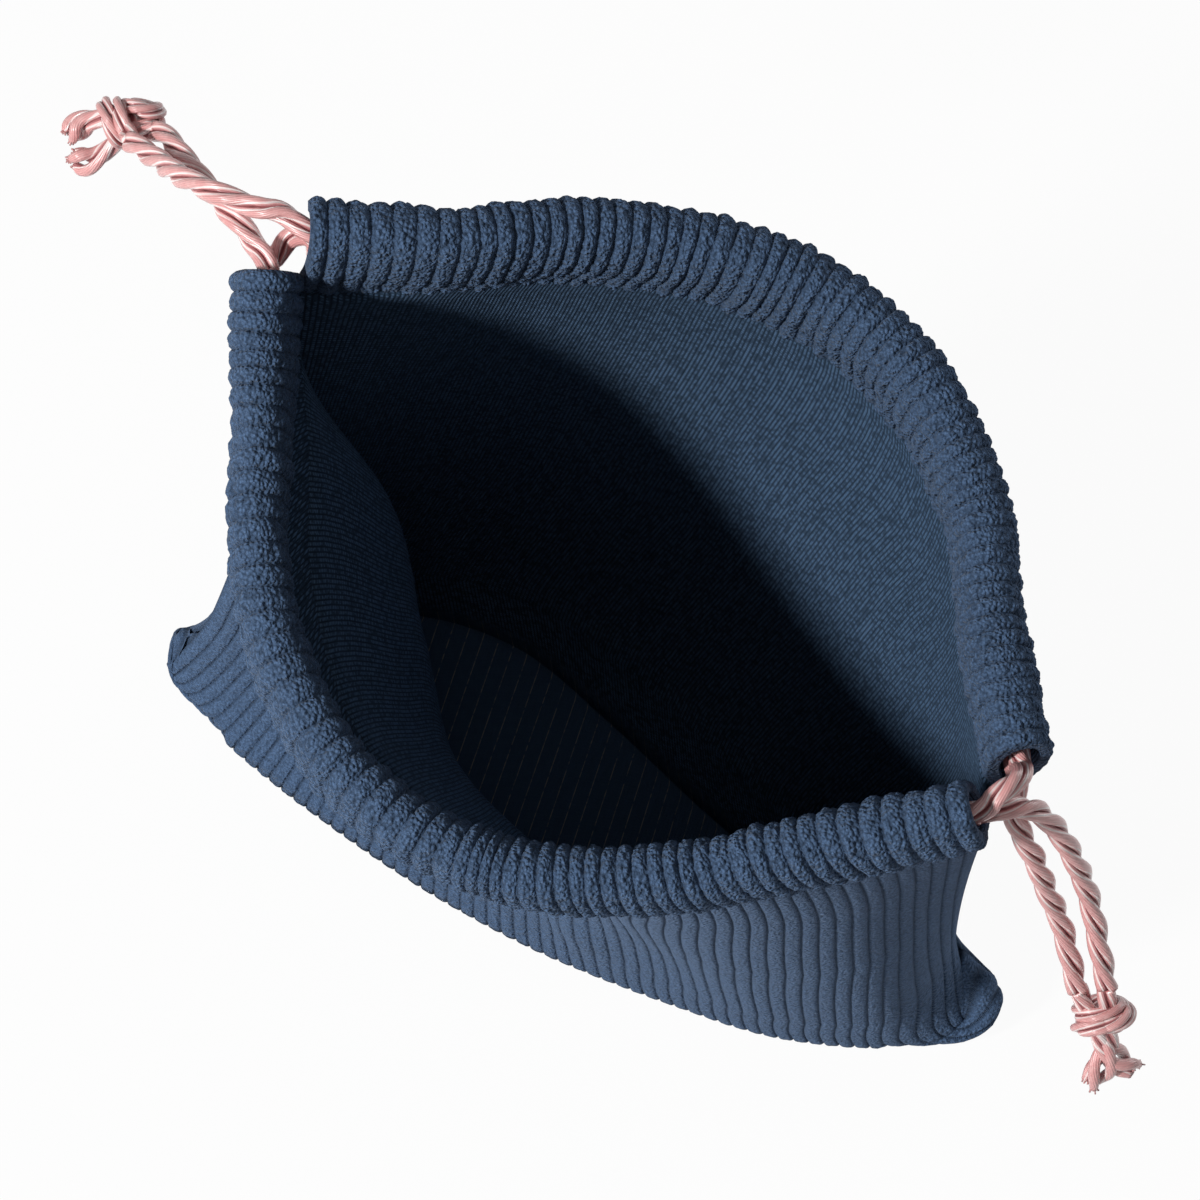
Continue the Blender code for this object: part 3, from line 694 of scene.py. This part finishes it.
def carried_frame(points):
    """Two directions square to a line, carried along it without twisting."""
    tangents = unit(np.gradient(points, axis=0))
    first = np.zeros_like(points)
    start = np.array([0.0, 0.0, 1.0])
    first[0] = unit(start - tangents[0] * np.dot(start, tangents[0]))
    for i in range(1, len(points)):
        first[i] = unit(first[i - 1] - tangents[i] * np.dot(first[i - 1], tangents[i]))
    return first, np.cross(tangents, first)


def add_tube(mesh, uv, points, radii, sides, axis=None, reach=1.0):
    """Adds a closed round tube along the points to a bmesh, with threads counted in its UV map.

    The layer "deep" grows towards the axis, where the plies of a cord lie against each other."""
    deep = mesh.verts.layers.float["deep"]
    first, second = carried_frame(points)
    travelled = line_length(points)
    rings = []
    for i, point in enumerate(points):
        ring = []
        for k in range(sides):
            angle = 2 * math.pi * k / sides
            way = first[i] * math.cos(angle) + second[i] * math.sin(angle)
            corner = point + way * radii[i]
            ring.append(mesh.verts.new(corner))
            if axis is not None:
                ring[-1][deep] = 1 - np.linalg.norm(corner - axis[i]) / reach
        rings.append(ring)
    for i, (near, far) in enumerate(zip(rings, rings[1:])):
        for k in range(sides):
            after = (k + 1) % sides
            face = mesh.faces.new((near[k], near[after], far[after], far[k]))
            face.smooth = True
            for loop, turn, row in zip(face.loops, (k, k + 1, k + 1, k), (i, i, i + 1, i + 1)):
                loop[uv].uv = (turn / sides, travelled[row])
    for ring in (rings[0][::-1], rings[-1]):
        mesh.faces.new(ring).smooth = True


def ply_lines(points, diameter, lay, phase, loosen=1.0):
    """The middle lines of a twisted cord's three plies, which turn to the left, and their radius.

    It is loosened where its plies are to stand apart."""
    first, second = carried_frame(points)
    ply_radius = diameter / 2 * 0.475
    offset = diameter / 2 - ply_radius
    lines = []
    for ply in range(3):
        angle = phase + 2 * math.pi * ply / 3 - 2 * math.pi * line_length(points) / lay
        away = first * np.cos(angle)[:, None] + second * np.sin(angle)[:, None]
        lines.append(points + away * (offset * loosen * np.ones(len(points)))[:, None])
    return lines, ply_radius


def cord_mesh():
    """An empty bmesh with the layers that a cord's material reads."""
    shape = bmesh.new()
    shape.verts.layers.float.new("deep")
    return shape, shape.loops.layers.uv.new("threads")


def cord_piece(name, shape, material):
    """A piece from a finished bmesh."""
    mesh = bpy.data.meshes.new(name)
    shape.normal_update()
    shape.to_mesh(mesh)
    shape.free()
    return new_piece(name, mesh, material)


def twisted_piece(name, points, settings, phase, material):
    """A length of three-ply twisted cord along the points."""
    shape, uv = cord_mesh()
    lines, radius = ply_lines(points, settings.diameter, settings.lay, phase)
    for line in lines:
        add_tube(shape, uv, line, np.full(len(line), radius), PLY_SIDES, points,
                 settings.diameter / 2)
    return cord_piece(name, shape, material)


def ring_line(centre, axis, radius):
    """A closed circle of cord around an axis."""
    axis = unit(axis)
    first = unit(np.cross(axis, (0.31, 0.77, -0.55)))
    turns = np.linspace(0, 2 * math.pi, 61)
    return centre + radius * (np.cos(turns)[:, None] * first
                              + np.sin(turns)[:, None] * np.cross(axis, first))


def knot_piece(name, centre, strands, side, settings, material):
    """An overhand knot tied in both ends of a cord, with its two short frayed tails."""
    shape, uv = cord_mesh()
    view = np.array(view_frame())
    tight = settings.diameter * KNOT_TIGHT
    for number, (middle, axis, radius) in enumerate(side["loops"]):
        radius = radius / 1000
        line = ring_line(centre + np.array(middle) / 1000 @ view, np.array(axis) @ view, radius)
        lines, ply_radius = ply_lines(line, tight, 2 * math.pi * radius, number)
        for ply in lines:
            add_tube(shape, uv, ply, np.full(len(ply), ply_radius), PLY_SIDES, line, tight / 2)
    rng = np.random.default_rng(len(name))
    place = np.linspace(0, 1, 60)
    loosen = 1 - 0.25 * hump(place, 0.5, 0.25) + 0.9 * hump(place, 0.88, 0.12)
    swell = 1 + 0.22 * smooth((place - 0.6) / 0.2) - 0.3 * smooth((place - 0.92) / 0.08)
    for number, (strand, tail) in enumerate(zip(strands, side["tails"])):
        way = np.array(tail)
        end = centre + unit(way) * (KNOT_DIAMETER / 2 + side["tail_lengths"][number])
        aside = unit(np.cross(unit(way), view[2])) * (TAIL_ASIDE if number else -TAIL_ASIDE)
        inside = centre + aside
        route = curve_through(np.array([strand, (strand + inside) / 2, inside,
                                        inside + way * 0.55 + aside, end]), place)
        lines, ply_radius = ply_lines(route, settings.diameter * 0.9, settings.lay, number, loosen)
        for ply in lines:
            add_tube(shape, uv, ply, ply_radius * swell, PLY_SIDES, route, settings.diameter * 0.5)
            ahead = unit(ply[-1] - ply[-4])
            for _ in range(FRAY_HAIRS):
                out = rng.normal(0, 1, 3)
                out = out - ahead * np.dot(out, ahead)
                root = ply[-1] + out * ply_radius * 0.35
                tip = root + ahead * rng.uniform(0.0003, 0.0008) + out * rng.uniform(0.0, 0.0002)
                add_tube(shape, uv, np.linspace(root, tip, 3), np.full(3, HAIR_RADIUS), 4)
    return cord_piece(name, shape, material)


class Socket:
    """A shader socket that can be used in Python expressions."""

    def __init__(self, tree, link):
        self.tree, self.link = tree, link

    def math(self, operation, *others):
        return self.tree.node("ShaderNodeMath", {"operation": operation}, [self, *others])

    def __add__(self, other):
        return self.math("ADD", other)

    def __sub__(self, other):
        return self.math("SUBTRACT", other)

    def __mul__(self, other):
        return self.math("MULTIPLY", other)

    def __radd__(self, other):
        return self + other

    def __rmul__(self, other):
        return self * other

    def __rsub__(self, other):
        return self.tree.node("ShaderNodeMath", {"operation": "SUBTRACT"}, [other, self])

    def fraction(self):
        return self.math("FRACT")

    def size(self):
        return self.math("ABSOLUTE")

    def ramp(self, low, high):
        """0 below low, 1 above high, and smooth between."""
        return self.tree.node("ShaderNodeMapRange", {"interpolation_type": "SMOOTHSTEP"},
                              {"Value": self, "From Min": low, "From Max": high})


class Tree:
    """Builds the nodes of a material or of the world."""

    def __init__(self, tree):
        self.nodes, self.links = tree.nodes, tree.links

    def node(self, kind, settings=None, inputs=None, output=0):
        """A node with its settings made first, then its sockets given values or links."""
        made = self.nodes.new(kind)
        for key, value in (settings or {}).items():
            setattr(made, key, value)
        pairs = inputs.items() if isinstance(inputs, dict) else enumerate(inputs or [])
        for key, value in pairs:
            self.feed(made.inputs[key], value)
        return Socket(self, made.outputs[output])

    def feed(self, socket, value):
        """Gives a socket a link or a value."""
        if isinstance(value, Socket):
            self.links.new(value.link, socket)
        else:
            socket.default_value = value

    def parts(self, vector):
        """The three numbers of a vector."""
        split = self.nodes.new("ShaderNodeSeparateXYZ")
        self.feed(split.inputs[0], vector)
        return [Socket(self, part) for part in split.outputs]

    def seen(self):
        """1 where the background itself is seen, also in metal or through glass."""
        ray = self.nodes.new("ShaderNodeLightPath")
        camera, glossy, through = (Socket(self, ray.outputs[f"Is {kind} Ray"])
                                   for kind in ("Camera", "Glossy", "Transmission"))
        return (camera + glossy + through).math("MINIMUM", 1.0)


class Shader(Tree):
    """Builds one procedural material."""

    def __init__(self, name):
        self.material = bpy.data.materials.new(name)
        self.material.use_nodes = True
        super().__init__(self.material.node_tree)
        self.surface = self.nodes["Principled BSDF"]

    def mix(self, factor, first, second):
        """One colour or another."""
        made = self.nodes.new("ShaderNodeMix")
        made.data_type = "RGBA"
        self.feed(made.inputs["Factor"], factor)
        for name, value in (("A", first), ("B", second)):
            socket = next(s for s in made.inputs if s.name == name and s.type == "RGBA")
            self.feed(socket, value if isinstance(value, Socket) else (*value, 1))
        return Socket(self, next(s for s in made.outputs if s.type == "RGBA"))

    def place(self):
        """Where a point of the piece is."""
        return self.node("ShaderNodeTexCoord", output=3)

    def map(self, name):
        """The two numbers of a UV map."""
        return self.parts(self.node("ShaderNodeUVMap", {"uv_map": name}))[:2]

    def attribute(self, name):
        """A number kept on the piece's points."""
        return self.node("ShaderNodeAttribute", {"attribute_name": name}, output=2)

    def noise(self, scale, detail=2.0):
        """Soft random spots."""
        return self.node("ShaderNodeTexNoise", None,
                         {"Vector": self.place(), "Scale": scale, "Detail": detail})

    def nubs(self, scale):
        """How far a point is from the nearest of many scattered spots."""
        return self.node("ShaderNodeTexVoronoi", None, {"Vector": self.place(), "Scale": scale})

    def bump(self, height, distance, strength):
        """Small relief of a height that is 1 at the given distance."""
        return self.node("ShaderNodeBump", None,
                         {"Height": height, "Distance": distance, "Strength": strength})

    def finish(self, colour, roughness, normal=None, **constant):
        """Joins the maps to the surface's sockets and sets the rest of them."""
        maps = {"Base Color": colour, "Roughness": roughness, **constant}
        if normal is not None:
            maps["Normal"] = normal
        for name, value in maps.items():
            self.feed(self.surface.inputs[name.replace("_", " ")], value)
        return self.material


def shade(colour, factor):
    """A colour made lighter or darker."""
    return tuple(min(1.0, part * factor) for part in colour)


def stripes(value):
    """0 in the middle of each whole step of a value and 1 at its ends."""
    return (value.fraction() - 0.5).size() * 2


def pile_material(settings):
    """Corduroy's right side: soft ridges and a fluffy nap, with painted shade on the ridges'
    flanks, in the furrows (darkest at stitch-like gaps) and between the tufts and nubs.
    """
    s = Shader("corduroy pile")
    pile = settings.pile
    across, along = s.map("weave")
    away = stripes(across)
    groove, flank_shade = away.ramp(0.78, 0.99), away.ramp(0.40, 1.0)
    nap, tuft = s.attribute("nap"), s.attribute("tuft")
    fibres, fluff, patches = s.noise(2300, 3.0), s.noise(900), s.noise(45)
    dots = stripes(along * (1 / STITCH))
    ridge = s.mix(fibres.ramp(0.34, 0.68), shade(pile, 0.72), shade(pile, 1.36))
    ridge = s.mix(patches.ramp(0.3, 0.7) * 0.3, ridge, shade(pile, 1.2))
    # Painted shade in the pits between the tufts of the pile
    tuft_shade = (1 - tuft.ramp(0.05, 0.60)) * (0.08 + 0.42 * nap)
    ridge = s.mix(tuft_shade, ridge, shade(pile, 0.25))
    # Painted shade in the gaps between the scattered nubs of the pile
    nubs = s.nubs(1250)
    ridge = s.mix(nubs.ramp(0.48, 0.85) * (0.32 + 0.28 * nap), ridge, shade(pile, 0.25))
    ridge = s.mix(fluff.ramp(0.46, 0.34) * 0.3, ridge, shade(pile, 0.45))
    # Painted shade on the ridges' flanks towards the furrows, which leaves their tops lighter
    ridge = s.mix(flank_shade * 0.42, ridge, shade(pile, 0.5))
    # Painted shade in the furrows, darkest at the stitch-like gaps and fainter on the casings
    depth = groove * (0.10 + 0.45 * dots) * (1 - 0.6 * nap)
    colour = s.mix(depth, ridge, shade(pile, 0.22))
    height = fibres * 0.5 + fluff * 0.4 - nubs * (0.9 + 0.9 * nap) - groove * dots * 0.3
    return s.finish(colour, 0.92, s.bump(height, 0.0006, 0.9), Sheen_Weight=0.12,
                    Sheen_Roughness=0.45, Sheen_Tint=(0.55, 0.68, 0.9, 1),
                    Specular_IOR_Level=0.12)


def backing_material(settings):
    """Corduroy's wrong side: a plain weave in fine rows, dark between the wales on the walls. The
    base is painted lighter, as if lit from above, with a pale thread line for each wale that shows
    only there."""
    s = Shader("corduroy backing")
    backing = settings.backing
    across, along = s.map("weave")
    # Below this height the wrong side is painted as lit from above
    wall = s.parts(s.place())[2].ramp(*WALL_START)
    rows = stripes(across * ROWS_TO_A_WALE)
    picks = stripes(along * (1 / PICK) + across * 2)
    wale = stripes(across + 0.5).ramp(0.90, 0.98)
    specks = s.noise(900)
    knots = rows.ramp(0.9, 0.35) * picks.ramp(0.85, 0.3)
    colour = s.mix(rows.ramp(0.35, 0.95) * 0.8, shade(backing, 0.9), shade(backing, 0.4))
    colour = s.mix(knots * specks.ramp(0.38, 0.58), colour, shade(backing, 3.0))
    colour = s.mix(wale * wall * 0.6, colour, shade(backing, 0.4))
    # Painted light: the base's floor is lighter, and its pale thread lines show only here
    lit_floor = s.mix(wale * specks.ramp(0.3, 0.6) * 0.75, shade(backing, 1.25), settings.thread)
    colour = s.mix(wall, lit_floor, colour)
    normal = s.bump(knots * 0.7 - rows * 0.6, 0.0002, 0.6)
    return s.finish(colour, 0.85, normal, Sheen_Weight=0.05, Sheen_Roughness=0.5,
                    Sheen_Tint=(0.45, 0.65, 0.95, 1), Specular_IOR_Level=0.05)


def satin_material(settings):
    """Silky threads wound round each ply of the cord, with a painted highlight band along each ply
    and painted shade in the grooves between the plies.
    """
    s = Shader("satin cord")
    satin = settings.colour
    around, along = s.map("threads")
    deep = s.attribute("deep")
    threads = stripes(around * PLY_THREADS + along * THREAD_SLANT)
    uneven = s.noise(700)
    colour = s.mix(threads.ramp(0.45, 1.0) * 0.35, satin, shade(satin, 0.7))
    colour = s.mix(uneven.ramp(0.40, 0.75) * 0.30, colour, settings.light)
    # Painted highlight: a pale band along the edges of every ply
    ply_highlight = deep.ramp(0.14, 0.20) * (1 - deep.ramp(0.25, 0.31))
    colour = s.mix(ply_highlight * 0.85, colour, settings.shine)
    # Painted shade in the grooves between the plies
    colour = s.mix(deep.ramp(0.30, 0.42) * 0.9, colour, settings.groove)
    return s.finish(colour, 0.32, s.bump(1 - threads * threads, 0.00012, 0.6),
                    Sheen_Weight=0.05, Sheen_Roughness=0.3, Specular_IOR_Level=0.7,
                    Coat_Weight=0.25, Coat_Roughness=0.18)


def settings_of(context):
    """The settings of the cloth, the cords and the stage."""
    return context.scene.pouch_cloth, context.scene.pouch_cord, context.scene.pouch_stage


class POUCH_OT_camera(bpy.types.Operator):
    """Sets the camera as the photograph was taken"""

    bl_idname = "pouch.camera"
    bl_label = "Add camera"

    def execute(self, context):
        bpy.ops.object.select_all(action="DESELECT")
        right, top, back = view_frame()
        eye = right * VIEW_ASIDE[0] + top * VIEW_ASIDE[1] + back * VIEW_DISTANCE
        turn = Matrix((right, top, back)).transposed().to_euler()
        bpy.ops.object.camera_add(location=eye, rotation=turn)
        camera = context.object
        camera.name = "camera"
        camera.data.lens = VIEW_LENS
        camera.data.clip_start, camera.data.clip_end = 0.05, 20
        context.scene.camera = camera
        return {"FINISHED"}


class POUCH_OT_cords(bpy.types.Operator):
    """Adds the two twisted cords and their knots"""

    bl_idname = "pouch.cords"
    bl_label = "Add cords"

    def execute(self, context):
        _, cord, _ = settings_of(context)
        satin = satin_material(cord)
        for number, side in enumerate(SIDES):
            points, first, last = cord_route(number, cord.diameter)
            reach = int(CORD_HIDDEN / CORD_STEP)
            free = {"front": points[:first + reach], "back": points[last - reach:][::-1]}
            ends = [path[0] for path in free.values()]
            centre = side_anchor(number) + np.array(side["knot"])
            tied = knot_piece(f"tied_knot_{side['name']}", centre, ends, side, cord, satin)
            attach(tied, "root")
            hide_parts(f"knot_{side['name']}")
            for part, path in {"run": points[first:last + 1], **free}.items():
                piece = twisted_piece(f"cord_{side['name']}_{part}", path, cord,
                                      CORD_TURN * number, satin)
                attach(piece, "root")
                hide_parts(f"drawcord_{side['name']}")
                if part == "run":
                    continue
        return {"FINISHED"}


class POUCH_OT_cloth(bpy.types.Operator):
    """Adds the corduroy of the front, the base and the back"""

    bl_idname = "pouch.cloth"
    bl_label = "Add cloth"

    def execute(self, context):
        settings, _, _ = settings_of(context)
        cloth = Cloth(settings)
        finishes = [pile_material(settings), backing_material(settings)]
        front, base, back = cloth.count
        total = front + base + back
        cuts = (("casing_front", 0, CASING_ROWS + 1), ("cloth_front", CASING_ROWS, front),
                ("cloth_base", front - 1, front + base + 1),
                ("cloth_back", front + base, total - CASING_ROWS),
                ("casing_back", total - CASING_ROWS - 1, total))
        for name, start, stop in cuts:
            piece = cloth.part(name, start, stop, finishes)
            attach(piece, "root")
            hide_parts("pouch")
            length = float(cloth.along[stop - 1] - cloth.along[start])
        return {"FINISHED"}


class POUCH_OT_stage(bpy.types.Operator):
    """Adds the floor, the lamps and the pale surroundings"""

    bl_idname = "pouch.stage"
    bl_label = "Add stage"

    def execute(self, context):
        _, _, stage = settings_of(context)
        bpy.ops.object.select_all(action="DESELECT")
        bpy.ops.mesh.primitive_plane_add(size=6, location=(0, 0, 0))
        floor = context.object
        floor.name = "floor"
        s = Shader("white table")
        white = s.node("ShaderNodeEmission", None, {"Color": (1, 1, 1, 1), "Strength": 1.0})
        own = Socket(s, s.surface.outputs[0])
        both = s.node("ShaderNodeMixShader", None, [s.seen() * FLOOR_WHITE, own, white])
        s.feed(s.nodes["Material Output"].inputs["Surface"], both)
        s.finish((0.86, 0.86, 0.86, 1), 0.9)
        floor.data.materials.append(s.material)
        for name, (azimuth, elevation), distance, size, share, colour in LAMPS:
            way = direction(azimuth, elevation)
            bpy.ops.object.select_all(action="DESELECT")
            bpy.ops.object.light_add(type="AREA", location=Vector(LAMP_AIM) + way * distance,
                                     rotation=way.to_track_quat("Z", "Y").to_euler())
            lamp = context.object
            lamp.name = name
            lamp.data.shape = "DISK"
            lamp.data.size = size
            lamp.data.energy = stage.key_power * share
            lamp.data.color = colour
        world = bpy.data.worlds.new("studio")
        context.scene.world = world
        world.use_nodes = True
        tree = Tree(world.node_tree)
        strength = tree.node("ShaderNodeMapRange", None,
                             {"Value": tree.seen(), "To Min": stage.fill, "To Max": 1.0})
        backdrop = tree.nodes["Background"]
        tree.feed(backdrop.inputs["Color"], (1, 1, 1, 1))
        tree.feed(backdrop.inputs["Strength"], strength)
        context.scene.view_settings.view_transform = "Standard"
        return {"FINISHED"}


class POUCH_PT_sidebar(bpy.types.Panel):
    """Shows the pouch's settings and buttons in the sidebar"""

    bl_label = "Drawstring pouch"
    bl_idname = "POUCH_PT_sidebar"
    bl_space_type = "VIEW_3D"
    bl_region_type = "UI"
    bl_category = "Pouch"

    def draw(self, context):
        for group in settings_of(context):
            box = self.layout.box()
            for name in group.__annotations__:
                box.prop(group, name)
        for operator in OPERATORS:
            self.layout.operator(operator.bl_idname)


OPERATORS = (POUCH_OT_camera, POUCH_OT_cords, POUCH_OT_cloth, POUCH_OT_stage)
CLASSES = (ClothSettings, CordSettings, StageSettings, *OPERATORS, POUCH_PT_sidebar)


def register():
    """Adds the classes and their settings to Blender."""
    for item in CLASSES:
        bpy.utils.register_class(item)
    bpy.types.Scene.pouch_cloth = PointerProperty(type=ClothSettings)
    bpy.types.Scene.pouch_cord = PointerProperty(type=CordSettings)
    bpy.types.Scene.pouch_stage = PointerProperty(type=StageSettings)


def unregister():
    """Takes them out again."""
    for name in ("pouch_cloth", "pouch_cord", "pouch_stage"):
        delattr(bpy.types.Scene, name)
    for item in reversed(CLASSES):
        bpy.utils.unregister_class(item)


def main():
    """Makes the pouch."""
    register()
    bpy.ops.pouch.camera()
    bpy.ops.pouch.cords()
    bpy.ops.pouch.cloth()
    bpy.ops.pouch.stage()


if __name__ == "__main__":
    main()
